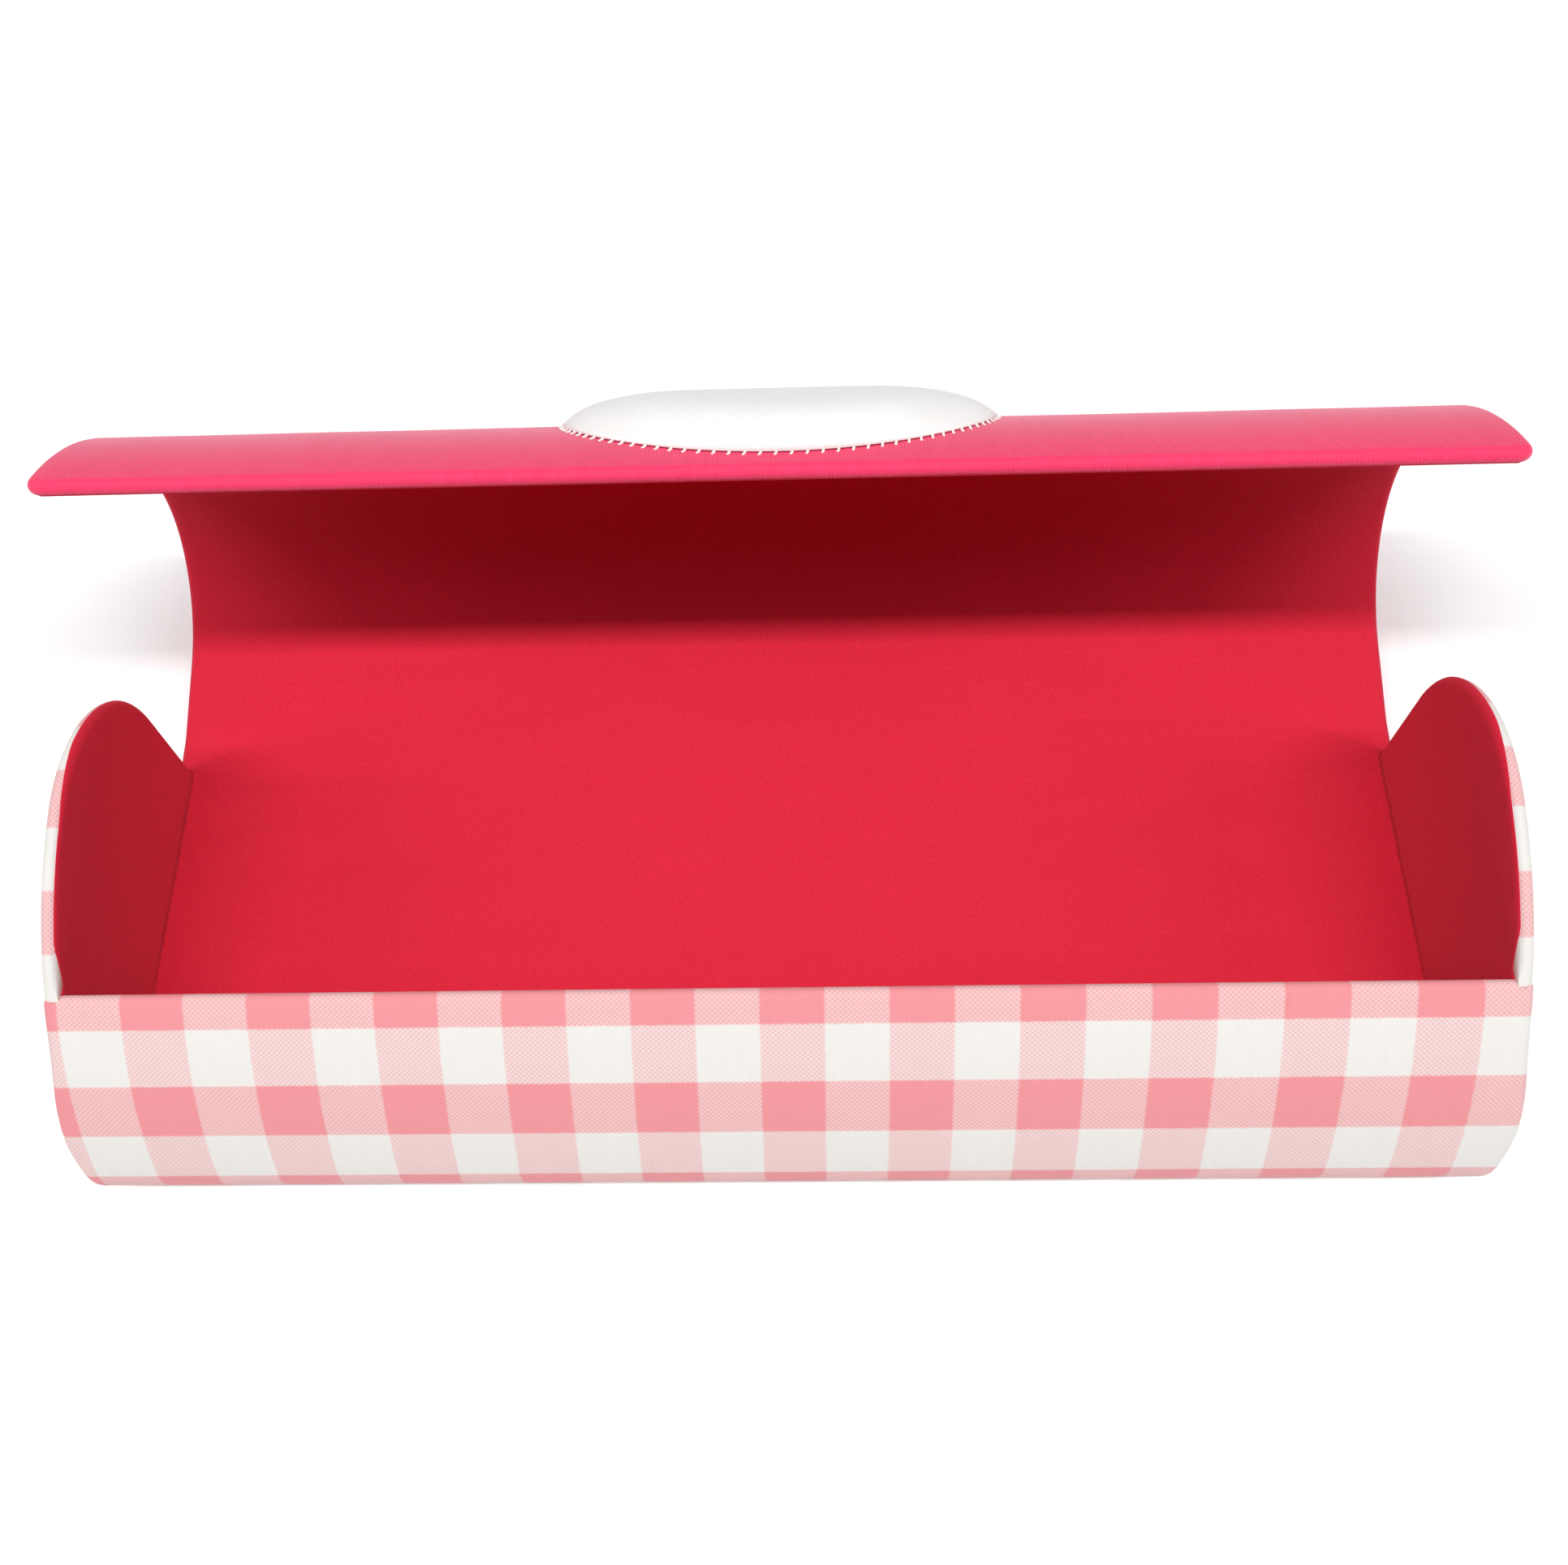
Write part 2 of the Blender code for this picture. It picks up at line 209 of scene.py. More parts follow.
class Line:
    """A line in the YZ plane, with its place and its normal at any distance along it.

    It goes on straight past both ends.
    """

    REACH = 20 * MM

    def __init__(self, points, side=1):
        points = np.array(points)
        first, last = points[0] - points[1], points[-1] - points[-2]
        first, last = first / np.linalg.norm(first), last / np.linalg.norm(last)
        self.points = np.vstack([points[0] + first * self.REACH, points, points[-1] + last * self.REACH])
        steps = np.linalg.norm(np.diff(self.points, axis=0), axis=1)
        self.along = np.concatenate([[0], np.cumsum(steps)]) - self.REACH
        self.length, self.side = self.along[-2], side

    def place(self, s):
        return np.stack([np.interp(s, self.along, self.points[:, k]) for k in (0, 1)], -1)

    def normal(self, s, span=0.3 * MM):
        ahead = self.place(np.asarray(s) + span) - self.place(np.asarray(s) - span)
        ahead /= np.linalg.norm(ahead, axis=-1, keepdims=True)
        return self.side * np.stack([ahead[..., 1], -ahead[..., 0]], -1)

    def bend(self, flat):
        """Flat points (x, s, h) at their places in space."""
        yz = self.place(flat[..., 1]) + self.normal(flat[..., 1]) * flat[..., 2:3]
        return np.concatenate([flat[..., :1], yz], -1)


# Meshes


def add_object(name, data):
    made = bpy.data.objects.new(name, data)
    bpy.context.scene.collection.objects.link(made)
    return made


def add_mesh(name, places, faces, finish=None):
    mesh = bpy.data.meshes.new(name)
    mesh.from_pydata(places, [], faces)
    mesh.shade_smooth()
    if finish:
        mesh.materials.append(finish)
    return add_object(name, mesh)


def thicken(piece, thickness):
    """Gives a cloth its thickness, behind its face."""
    shell = piece.modifiers.new("thickness", "SOLIDIFY")
    shell.thickness = thickness
    shell.offset = -1


class Cloth:
    """Rows of vertices, each with its place in space and its place on the cloth, joined by quads."""

    def __init__(self):
        self.places, self.flats, self.faces = [], [], []

    def row(self, places, flats):
        start = len(self.places)
        self.places.extend(map(tuple, places))
        self.flats.extend((float(f[0]), float(f[1]), 0.0) for f in flats)
        return list(range(start, len(self.places)))

    def join(self, first, second, closed=False):
        count = len(first)
        for i in range(count if closed else count - 1):
            j = (i + 1) % count
            self.faces.append(tuple(dict.fromkeys((first[i], first[j], second[j], second[i]))))

    def fan(self, ring, place, flat):
        centre = self.row([place], [flat])[0]
        for i in range(len(ring)):
            self.faces.append((ring[i], ring[(i + 1) % len(ring)], centre))

    def build(self, name, finish, thickness=0.0, flip=False):
        faces = [f[::-1] for f in self.faces] if flip else self.faces
        piece = add_mesh(name, self.places, faces, finish)
        flats = piece.data.attributes.new("cloth", "FLOAT_VECTOR", "POINT")
        flats.data.foreach_set("vector", np.array(self.flats, np.float32).ravel())
        if thickness:
            thicken(piece, thickness)
        return piece


def spaced(start, end, step=STEP):
    return np.linspace(start, end, max(2, math.ceil(abs(end - start) / step) + 1))


def ripple(x, s, size, height):
    """A small uneven swell, the same at the same place each time."""
    return height * noise.noise(Vector((x / size, s / size, 3.7)))


def bulge(s):
    """How far the case's ends swell outwards, by the distance down from the front wall's top edge."""
    down = np.array([5, 8, 11, 14, 17, 20, 23, 26, 29]) * MM
    return BULGE * np.interp(s, down, [0, 0.1, 0.4, 0.75, 0.95, 1, 0.6, 0.2, 0])


def panel(line, half, start, end, corners=None, swell=0.0, wider=None):
    """The face of a cloth on a bent panel, and its border by sides: (vertex, flat place, way out).

    corners gives the radius of the corners at the start and at the end. wider tells how much wider a row
    is on each side, by its place.
    """
    cloth = Cloth()
    near, far = corners or (0, 0)
    turn = [math.radians(15 * i) for i in range(6)] if corners else []
    rows = [(start + near * (1 - math.cos(t)), half - near * (1 - math.sin(t)), -t) for t in turn]
    rows += [(s, half + (wider(s) if wider else 0), None) for s in spaced(start + near, end - far)]
    rows += [(end - far * (1 - math.cos(t)), half - far * (1 - math.sin(t)), t) for t in turn[::-1]]
    across = np.linspace(-1, 1, math.ceil(2 * half / (1.4 * STEP)))
    lines, left, right = [], [], []
    for s, width, t in rows:
        flat = np.array([(x, s, ripple(x, s, 14 * MM, swell)) for x in across * width])
        lines.append((cloth.row(line.bend(flat), flat), flat))
        out, on = (1, 0) if t is None else (math.sin(abs(t)), math.copysign(math.cos(t), t))
        left.append((lines[-1][0][0], flat[0], (-out, on)))
        right.append((lines[-1][0][-1], flat[-1], (out, on)))
    for (first, _), (second, _) in zip(lines, lines[1:]):
        cloth.join(first, second)
    front = [(i, f, (0, -1)) for i, f in zip(*lines[0])]
    back = [(i, f, (0, 1)) for i, f in zip(*lines[-1])]
    return cloth, {"front": front, "right": right, "back": back, "left": left}


def wrap(cloth, line, border, profile, closed=False):
    """Carries a cloth on past its border. The profile lists (outward, down) steps from the border.

    Where a closed border is turned in, its corners are mitred, so that the cloth doesn't cross itself.
    """
    edge = np.array([f[:2] for _, f, _ in border])
    last, before, run = [b[0] for b in border], (0, 0), 0
    for out, down in profile:
        run += math.hypot(out - before[0], down - before[1])
        before = (out, down)
        flat = np.array([(f[0] + n[0] * out, f[1] + n[1] * out, f[2] - down) for _, f, n in border])
        if closed and out < 0:
            flat[:, :2] = np.clip(flat[:, :2], edge.min(0) - out, edge.max(0) + out)
        laid = [(f[0] + n[0] * run, f[1] + n[1] * run) for _, f, n in border]
        ring = cloth.row(line.bend(flat), laid)
        cloth.join(ring, last, closed)
        last = ring


def round_edge(radius, turn_in, degrees=180):
    """The profile of a cloth that goes round a panel's edge and on along its back."""
    step = 20 if degrees > 90 else 14
    angles = [math.radians(a) for a in range(20, degrees + 1, step)]
    profile = [(radius * math.sin(a), radius * (1 - math.cos(a))) for a in angles]
    return profile + [(-turn_in * share, 2 * radius) for share in (0.5, 1) if turn_in]


# Materials


class Shader:
    """A material, with short ways to add and link its nodes."""

    def __init__(self, name, roughness, **settings):
        self.material = bpy.data.materials.new(name)
        self.material.use_nodes = True
        self.tree = self.material.node_tree
        self.surface = self.tree.nodes["Principled BSDF"]
        self.surface.inputs["Roughness"].default_value = roughness
        for key, value in settings.items():
            self.surface.inputs[key.replace("_", " ")].default_value = value

    def node(self, kind, values=(), **settings):
        made = self.tree.nodes.new(kind)
        for key, value in settings.items():
            setattr(made, key, value)
        for key, value in dict(values).items():
            if isinstance(value, bpy.types.NodeSocket):
                self.tree.links.new(value, made.inputs[key])
            else:
                made.inputs[key].default_value = value
        return made

    def math(self, operation, *values, clamp=False):
        made = self.node("ShaderNodeMath", enumerate(values), operation=operation, use_clamp=clamp)
        return made.outputs[0]

    def cloth_place(self):
        """The place on the flat cloth: the whole vector, across and along."""
        place = self.node("ShaderNodeAttribute", attribute_name="cloth").outputs["Vector"]
        parts = self.node("ShaderNodeSeparateXYZ", {0: place})
        return place, parts.outputs[0], parts.outputs[1]

    def object_place(self):
        return self.node("ShaderNodeTexCoord").outputs["Object"]

    def speckle(self, place, size, detail=3.0, stretch=(1, 1, 1)):
        """Noise of about the given size in metres, from 0 to 1."""
        scaled = self.node("ShaderNodeMapping", {"Vector": place, "Scale": [k / size for k in stretch]})
        values = {"Vector": scaled.outputs[0], "Scale": 1.0, "Detail": detail}
        return self.node("ShaderNodeTexNoise", values).outputs["Fac"]

    def spread(self, value, low, high):
        made = self.node("ShaderNodeMapRange", {"Value": value, "To Min": low, "To Max": high})
        return made.outputs[0]

    def mix(self, share, first, second, blend="MIX"):
        made = self.node("ShaderNodeMix", {"Factor": share}, data_type="RGBA", blend_type=blend)
        for socket, value in ((made.inputs[6], first), (made.inputs[7], second)):
            if isinstance(value, bpy.types.NodeSocket):
                self.tree.links.new(value, socket)
            else:
                socket.default_value = (*value, 1)
        return made.outputs[2]

    def weave(self, across, along, pitch):
        """Plain weave: +1 where the thread along the cloth is on top and -1 where the other is."""
        turns = []
        for way in (across, along):
            turns.append(self.math("SINE", self.math("MULTIPLY", way, math.pi / pitch)))
        return self.math("MULTIPLY", *turns)

    def bump(self, height, distance, strength, below=None):
        values = {"Height": height, "Distance": distance, "Strength": strength}
        if below:
            values["Normal"] = below
        return self.node("ShaderNodeBump", values).outputs[0]

    def finish(self, colour, normal=None):
        self.tree.links.new(colour, self.surface.inputs["Base Color"])
        if normal:
            self.tree.links.new(normal, self.surface.inputs["Normal"])
        return self.material


def gingham(name, column_start, row_start):
    """Checked cotton. A crossing shows its column's and its row's threads, and the row's cover more."""
    white, column_red, row_red = (0.765, 0.75, 0.72), (0.78, 0.25, 0.28), (0.79, 0.3, 0.32)
    shader = Shader(name, 0.85, Sheen_Weight=0.1, Sheen_Roughness=0.5, Specular_IOR_Level=0.2)
    place, across, along = shader.cloth_place()
    wobble = shader.spread(shader.speckle(place, 1.2 * MM), -0.12 * MM, 0.12 * MM)
    stripes = []
    for way, start in ((across, column_start), (along, row_start)):
        moved = shader.math("ADD", shader.math("SUBTRACT", way, start), wobble)
        over = shader.math("SUBTRACT", shader.math("PINGPONG", moved, SQUARE), SQUARE / 2)
        stripes.append(shader.math("ADD", shader.math("DIVIDE", over, CHECK_BLUR), 0.5, clamp=True))
    column = shader.mix(stripes[0], column_red, white)
    row = shader.mix(stripes[1], row_red, white)
    weave = shader.weave(across, along, THREAD)
    column_share = shader.math("MULTIPLY_ADD", weave, 0.26, 0.37, clamp=True)
    colour = shader.mix(column_share, row, column)
    slub = shader.speckle(place, 0.9 * MM, stretch=(1, 0.12, 1))
    colour = shader.mix(shader.spread(slub, 0.0, 0.12), colour, (0.7, 0.6, 0.58), "MULTIPLY")
    height = shader.math("POWER", shader.math("ABSOLUTE", weave), 0.6)
    return shader.finish(colour, shader.bump(height, 0.05 * MM, 0.4))


def plain_cloth():
    """Bright pinkish red cotton with a fine rib that runs from the edge to the hinge. Painted shade darkens the
    rib's grooves.
    """
    pink, light_pink = (0.93, 0.032, 0.115), (1.0, 0.052, 0.185)
    # the second colour here is painted shade for the bottoms of the rib's grooves
    worn, groove_shade = (0.6, 0.02, 0.06), (0.4, 0.0, 0.02)
    sheen = {"Sheen_Weight": 0.45, "Sheen_Roughness": 0.45, "Sheen_Tint": (1, 0.72, 0.85, 1)}
    shader = Shader("lid_cloth", 0.7, Specular_IOR_Level=0.3, **sheen)
    place, across, along = shader.cloth_place()
    weave = shader.weave(across, along, LID_RIB)
    turns = shader.math("MULTIPLY", across, math.pi / LID_RIB)
    rib = shader.math("ABSOLUTE", shader.math("SINE", turns))
    slub = shader.speckle(place, 1.6 * MM, stretch=(1, 0.1, 1))
    patches = shader.speckle(place, 22 * MM)
    colour = shader.mix(shader.spread(slub, 0.0, 0.9), pink, light_pink)
    colour = shader.mix(shader.spread(patches, 0.0, 0.12), colour, worn)
    # painted shade: darkens the colour where the rib's grooves lie lowest
    colour = shader.mix(shader.spread(rib, 0.16, 0.0), colour, groove_shade)
    height = shader.math("ADD", rib, shader.math("MULTIPLY", weave, 0.35))
    return shader.finish(colour, shader.bump(height, 0.07 * MM, 0.5))


def lining_cloth():
    """Red lining with a short brushed nap."""
    deep_red, red, brushed_red = (0.52, 0.01, 0.028), (0.72, 0.024, 0.056), (0.45, 0.006, 0.02)
    sheen = {"Sheen_Weight": 0.2, "Sheen_Roughness": 0.6, "Sheen_Tint": (1, 0.25, 0.35, 1)}
    shader = Shader("red_lining", 0.9, Specular_IOR_Level=0.15, **sheen)
    place, across, along = shader.cloth_place()
    nap = shader.speckle(place, 0.5 * MM, 4.0)
    brushed = shader.speckle(place, 9 * MM, 3.0, stretch=(0.5, 1.6, 1))
    colour = shader.mix(shader.spread(nap, 0.1, 0.9), deep_red, red)
    colour = shader.mix(shader.spread(brushed, 0.0, 0.25), colour, brushed_red)
    weave = shader.math("ABSOLUTE", shader.weave(across, along, LINING_THREAD))
    height = shader.math("ADD", nap, shader.math("MULTIPLY", weave, 0.4))
    return shader.finish(colour, shader.bump(height, 0.08 * MM, 0.4))


def white_cloth():
    """White brushed cotton."""
    shader = Shader("white_cloth", 0.85, Sheen_Weight=0.3, Sheen_Roughness=0.5, Specular_IOR_Level=0.2)
    place = shader.object_place()
    nap = shader.speckle(place, 0.45 * MM, 4.0)
    soft = shader.speckle(place, 5 * MM, 2.0)
    colour = shader.mix(shader.spread(nap, 0.0, 1.0), (0.8, 0.8, 0.79), (0.9, 0.9, 0.89))
    colour = shader.mix(shader.spread(soft, 0.0, 0.2), colour, (0.7, 0.69, 0.67))
    return shader.finish(colour, shader.bump(nap, 0.1 * MM, 0.5))


def white_thread():
    """Twisted cotton thread."""
    shader = Shader("white_thread", 0.6, Sheen_Weight=0.3, Specular_IOR_Level=0.4)
    place = shader.object_place()
    values = {"Vector": place, "Scale": 900.0, "Distortion": 1.0}
    twist = shader.node("ShaderNodeTexWave", values, bands_direction="DIAGONAL").outputs["Fac"]
    colour = shader.mix(twist, (0.74, 0.72, 0.68), (0.92, 0.91, 0.88))
    return shader.finish(colour, shader.bump(twist, 0.05 * MM, 0.6))


def fibreboard():
    """Grey-brown pressed board."""
    shader = Shader("fibreboard", 0.85)
    place = shader.object_place()
    fibres = shader.speckle(place, 0.8 * MM, 5.0, stretch=(0.3, 1, 1))
    clouds = shader.speckle(place, 8 * MM)
    colour = shader.mix(fibres, (0.32, 0.25, 0.17), (0.52, 0.43, 0.32))
    colour = shader.mix(shader.spread(clouds, 0.0, 0.3), colour, (0.38, 0.33, 0.27))
    return shader.finish(colour, shader.bump(fibres, 0.1 * MM, 0.5))


def foam():
    """Pale open-cell padding."""
    shader = Shader("foam", 0.95, Sheen_Weight=0.2)
    place = shader.object_place()
    cells = shader.node("ShaderNodeTexVoronoi", {"Vector": place, "Scale": 2200.0}).outputs["Distance"]
    colour = shader.mix(cells, (0.7, 0.68, 0.62), (0.9, 0.89, 0.84))
    return shader.finish(colour, shader.bump(cells, 0.15 * MM, 0.7))


def metal(name, dark, light, roughness):
    """Plated or bare metal with a fine grain."""
    shader = Shader(name, roughness, Metallic=1.0)
    grain = shader.speckle(shader.object_place(), 0.25 * MM, 3.0, stretch=(0.05, 1, 1))
    return shader.finish(shader.mix(grain, dark, light), shader.bump(grain, 0.01 * MM, 0.3))


# Pieces


def build_tray_cloth(finish):
    """Gingham over the front wall and the floor, turned in over the wall's top and round the ends."""
    line = Line(tray_points(0, 0))
    cloth, border = panel(line, LENGTH / 2 - EDGE_ROUND, EDGE_ROUND, line.length, wider=bulge)
    wrap(cloth, line, border["front"], round_edge(EDGE_ROUND, 2 * TURN_IN))
    corner = [(math.sin(t), -math.cos(t)) for t in np.radians(range(0, 90, 15))]
    left = border["left"][::-1] + [(*border["left"][0][:2], (-out, on)) for out, on in corner[::-1]]
    right = [(*border["right"][0][:2], way) for way in corner] + border["right"]
    wrap(cloth, line, left, round_edge(EDGE_ROUND, 0, 90))
    wrap(cloth, line, right, round_edge(EDGE_ROUND, 0, 90))
    piece = cloth.build("tray_cloth", finish, CLOTH, flip=True)
    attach(piece, "base")
    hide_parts("base_cover")


def end_outline():
    """Points round an end panel, the way out at each, and its way over the arch from the wall's top."""
    line = Line(end_points())
    around = np.linspace(0, line.length, 160, endpoint=False)
    return line.place(around), line.normal(around, 0.6 * MM), line.length - around


def build_end_cloth(name, side, finish):
    """Gingham over an end panel, with a strip turned in over its edge.

    free is 1 where the edge is free. It is 0 where the tray's cloth laps over it, along wall and floor.
    """
    outline, out, climb = end_outline()
    free = np.interp(climb, np.array([0.3, 1.5, 71, 72]) * MM, [0, 1, 1, 0])
    outline = outline - out * (SHY * (1 - free))[:, None]
    inner = outline - out * EDGE_ROUND
    middle = inner.mean(0)
    face = LENGTH / 2 - SHY
    puff, unevenness = 0.3 * MM, 0.06 * MM
    swollen = bulge(climb.max() - climb)
    cloth = Cloth()

    def ring(points, depth, flats, past=0):
        return cloth.row(np.column_stack([side * (face + past - depth), points]), flats)

    rings = []
    for share in (0.15, 0.35, 0.55, 0.72, 0.86, 0.95, 1):
        points = middle + (inner - middle) * share
        uneven = np.array([ripple(y, z, 12 * MM, unevenness) for y, z in points])
        swell = puff * (1 - share**4) + uneven * (1 - share**6)
        rings.append(ring(points, -swell, points, BULGE + (swollen - BULGE) * share**3))
    cloth.fan(rings[0], (side * (face + puff + BULGE), *middle), middle)
    for first, second in zip(rings, rings[1:]):
        cloth.join(second, first, closed=True)

    depth = WALL - SHY
    inner_round = (depth - EDGE_ROUND) * free + 0.05 * MM * (1 - free)
    angles = np.radians([3, 15, 30, 45, 60, 75, 90])
    steps = [(EDGE_ROUND * math.sin(a), EDGE_ROUND * (1 - math.cos(a))) for a in angles]
    steps += [
        (EDGE_ROUND - inner_round * (1 - math.cos(a)), depth - inner_round * (1 - math.sin(a)))
        for a in np.radians(range(15, 91, 15))
    ]
    steps.append((EDGE_ROUND - inner_round - TURN_IN, depth))
    overlap = 8 * MM  # of the outline's start, on the cloth
    along = np.where(climb > climb.max() - overlap, climb.max() - climb, -climb)
    last, run, before = rings[-1], 0, (0, 0)
    for outward, down in steps:
        outward, down = outward + 0 * climb, down + 0 * climb
        run = run + np.hypot(outward - before[0], down - before[1])
        before = (outward, down)
        laid = np.column_stack([run + 0 * climb, along])
        new = ring(inner + out * outward[:, None], down, laid, swollen * (1 - down / WALL))
        cloth.join(new, last, closed=True)
        last = new

    piece = cloth.build(f"end_cloth_{name}", finish, CLOTH, flip=side < 0)
    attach(piece, "base")
    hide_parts(f"end_cover_{name}")


def build_end_lining(name, side, finish):
    """The red lining on an end panel's inner face. It rolls over the edge, less near the wall's top."""
    outline, out, climb = end_outline()
    roll = np.radians(np.interp(climb, np.array([2, 6, 20, 30, 70, 72]) * MM, [0, 40, 40, 78, 78, 0]))
    inset = EDGE_ROUND + np.interp(climb, [0, 5 * MM, 100 * MM], [0.9, 0, 0]) * MM
    border = outline - out * inset[:, None]
    middle = border.mean(0)
    lift = 0.12 * MM  # off the board
    cloth = Cloth()
    rings = []
    for share in (0.2, 0.45, 0.7, 0.88, 0.97):
        points = middle + (border - middle) * share
        swell = np.array([ripple(y, z, 9 * MM, 0.1 * MM) * (1 - share**8) for y, z in points])
        rings.append(cloth.row(np.column_stack([side * (INSIDE_HALF - lift + swell), points]), points))
    for share, radius in ((0, 1), (0.25, 1), (0.5, 1), (0.75, 1), (0.95, 1), (1, 0.97), (1, 0.8)):
        reach = (EDGE_ROUND + lift) * radius
        points = border + out * (reach * np.sin(roll * share))[:, None]
        depth = INSIDE_HALF + EDGE_ROUND - reach * np.cos(roll * share)
        rings.append(cloth.row(np.column_stack([side * depth, points]), points))
    cloth.fan(rings[0], (side * (INSIDE_HALF - lift), *middle), middle)
    for first, second in zip(rings, rings[1:]):
        cloth.join(second, first, closed=True)
    piece = cloth.build(f"end_lining_cloth_{name}", finish, CLOTH, flip=side > 0)
    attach(piece, "base")
    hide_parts(f"end_lining_{name}")


def build_lid_cloth(finish):
    """The lid's outer cloth, turned in round all its edges."""
    line = Line(lid_points(LID_CLEARANCE + WALL), side=-1)
    end = line.length - EDGE_ROUND + FOOT_LAP
    corners = (LID_CORNER - EDGE_ROUND, 0.05 * MM)
    cloth, border = panel(line, LENGTH / 2 - EDGE_ROUND, EDGE_ROUND, end, corners, swell=0.06 * MM)
    ring = border["front"][:-1] + border["right"][:-1] + border["back"][:0:-1] + border["left"][:0:-1]
    wrap(cloth, line, ring, [*round_edge(EDGE_ROUND, 0), (-TURN_IN, 2 * EDGE_ROUND)], closed=True)
    piece = cloth.build("lid_cloth", finish, CLOTH)
    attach(piece, "lid")
    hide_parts("lid_cover")


def build_hinge_cloth(finish):
    """A thin strip, glued under the floor's board, that lies slack behind the ends up to the lid's foot.

    It is narrower between the end panels than behind them.
    """
    foot = lid_points(LID_CLEARANCE + WALL / 2)[-1]
    glued = [(19, 0.53), (22, 0.53), (24.8, 0.5)]
    slack = [(26.3, 0.4), (26.9, 0.8), (26.6, 1.6), (26.3, 2.4), (26.5, 3.2)]
    behind_ends = 26.2 * MM
    line = Line(smooth([(y * MM, z * MM) for y, z in glued + slack] + [foot]), side=-1)
    cloth, last = Cloth(), None
    for s in spaced(0, line.length, 0.3 * MM):
        between = line.place(s)[0] < behind_ends
        half = INSIDE_HALF - 0.2 * MM if between else LENGTH / 2 - 0.3 * MM
        flat = np.array([(x, s, 0) for x in np.linspace(-half, half, 100)])
        new = cloth.row(line.bend(flat), flat)
        if last:
            cloth.join(last, new)
        last = new
    piece = cloth.build("hinge_cloth", finish, HINGE_STRIP)
    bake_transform(piece)
    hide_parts("hinge_tape")


def build_lining(finish):
    """One red lining from the front wall's top, over the floor and the hinge, to the lid's far edge."""
    tray = tray_points(WALL, FLOOR, 21 * MM)
    lid_line = Line(lid_points(LID_CLEARANCE - 0.15 * MM)[::-1])
    lid = lid_line.place(spaced(4.5 * MM, lid_line.length, 0.3 * MM)).tolist()
    bridge = [tray[-1], (24.2 * MM, FLOOR), (27.8 * MM, 4.66 * MM), lid[0]]
    line = Line(tray[:-1] + smooth(bridge)[:-1] + lid, side=-1)
    hinge_s = Line(tray).length + HINGE[0] - tray[-1][0]
    start, end = LINING_INSET, line.length - LID_INSET
    near, far = hinge_s - 2 * MM, hinge_s + 6 * MM
    wide, fine = 0.8 * MM, 0.25 * MM
    cloth = Cloth()
    last = None
    for s in [*spaced(start, near, wide), *spaced(near, far, fine)[1:], *spaced(far, end, wide)[1:]]:
        flat = lining_row(s, s - hinge_s, end - s)
        new = cloth.row(line.bend(flat), flat)
        if last:
            cloth.join(last, new)
        last = new
    piece = cloth.build("inner_lining", finish, CLOTH)
    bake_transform(piece)
    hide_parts("base_lining", "hinge_lining", "lid_lining")


def lining_row(s, beyond, from_tip):
    """The lining's points across the case, at a distance beyond the hinge and one from the lid's edge.

    It sags towards the end panels, is creased at the hinge, and rolls off over the lid's edges. Just
    past the hinge it widens along the end panels' rounded back edges.
    """
    past_ends = np.interp(beyond / MM, [-0.4, 0.1, 0.35, 0.5, 0.9], [-0.15, 0.1, 0.35, 0.8, 1.6]) * MM
    half = INSIDE_HALF + past_ends
    corner = LID_CORNER - LID_INSET
    if from_tip < corner:
        half -= corner - math.sqrt(corner**2 - (corner - from_tip) ** 2)
    shares = np.linspace(-1, 1, 118)
    on_lid = beyond > 0
    row = []
    for x in half * np.sign(shares) * (1 - (1 - np.abs(shares)) ** 1.3):
        edge = min(half - abs(x), from_tip if on_lid else math.inf)
        height = ripple(x, s, 16 * MM, 0.1 * MM) + 0.15 * MM * crease(x, beyond)
        if beyond < 0:
            height -= 0.35 * MM * math.exp(-edge / (1.5 * MM))
        drop = roll_off(edge + LID_INSET) if on_lid else 0.2 * MM * max(0, 1 - edge / (0.5 * MM))
        row.append((x, s, height * min(1, edge / MM) - drop))
    return np.array(row)


def roll_off(edge):
    """How far a wall's rounded edge falls away from its face at a distance from the very edge."""
    return EDGE_ROUND - math.sqrt(EDGE_ROUND**2 - max(0, EDGE_ROUND - edge) ** 2)


def crease(x, beyond):
    """Shallow creases along the hinge, where the lining bends each time the lid moves."""
    if not -9 * MM < beyond < 12 * MM:
        return 0.0
    fade = math.cos(math.pi / 2 * beyond / (12 * MM if beyond > 0 else 9 * MM))
    return fade * noise.noise(Vector((x / (26 * MM), beyond / (2.6 * MM), 1.3)))


def patch_disc():
    """An even grid of vertices over a disc of radius 1, its quads, and the vertices on its rim."""
    steps, count = np.linspace(-1, 1, PATCH_GRID), PATCH_GRID
    square = [(u, v) for v in steps for u in steps]
    places = np.array([(u * math.sqrt(1 - v * v / 2), v * math.sqrt(1 - u * u / 2)) for u, v in square])
    corners = [j * count + i for j in range(count - 1) for i in range(count - 1)]
    faces = [(k, k + 1, k + count + 1, k + count) for k in corners]
    rim = [k for k in range(count**2) if {k // count, k % count} & {0, count - 1}]
    return places, faces, rim


